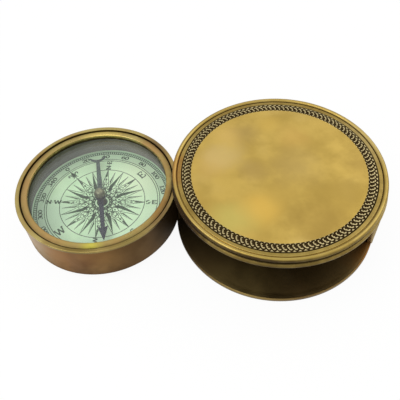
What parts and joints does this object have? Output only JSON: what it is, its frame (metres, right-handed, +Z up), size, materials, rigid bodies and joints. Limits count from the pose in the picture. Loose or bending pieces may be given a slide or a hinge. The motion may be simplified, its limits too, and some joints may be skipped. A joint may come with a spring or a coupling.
{
  "type": "folding compass",
  "caption": "Round brass pocket compass with a glazed dial and needle, swinging on a vertical pin out of an open-fronted round brass case with a beaded lid.",
  "frame": {"origin": "centre of the case's round base, on its underside", "axes": "+Z up out of the lid, -X towards the hinge pin and the swung-out compass, the open front of the case towards -Y"},
  "size_m": [0.1364, 0.0768, 0.027],
  "materials": {
    "lid_brass": "polished brass with a cloudy brown and olive patina",
    "aged_brass": "satin brass aged to a copper brown",
    "rim_brass": "turned brass, worn bright on the high spots",
    "steel": "bright turned steel",
    "blued_steel": "heat-blued steel",
    "crystal_glass": "clear flat glass",
    "gasket_rubber": "thin black rubber",
    "grey_paint": "matt grey-green paint",
    "dial_print": "pale green card printed in dark ink",
    "jewel": "polished red bearing jewel"
  },
  "bodies": {
    "case": {"bottom_plate": "aged_brass", "case_wall": "aged_brass", "lid_rim": "lid_brass", "lid_plate": "lid_brass", "pivot_pin": "steel", "pivot_washer": "aged_brass", "spring_washer": "steel", "pivot_spacer": "aged_brass"},
    "compass": {"hinge_knuckle": "aged_brass", "compass_case": "aged_brass", "rim_ring": "rim_brass", "retaining_ring": "rim_brass", "crystal": "crystal_glass", "glass_gasket": "gasket_rubber", "liner_ring": "grey_paint", "dial_plate": "aged_brass", "dial_card": "dial_print", "needle_post": "rim_brass", "needle_point": "steel"},
    "needle": {"needle_blade": "blued_steel", "needle_hub": "rim_brass", "needle_jewel": "jewel"}
  },
  "joints": [
    {"name": "compass_swing", "type": "hinge", "parent": "case", "child": "compass", "pos_m": [-0.0337, 0, 0.0082], "axis": [0, 0, 1], "range_deg": [0, 180]},
    {"name": "needle_spin", "type": "hinge", "parent": "compass", "child": "needle", "pos_m": [-0.0674, 0, 0.0118], "axis": [0, 0, 1], "continuous": true}
  ]
}
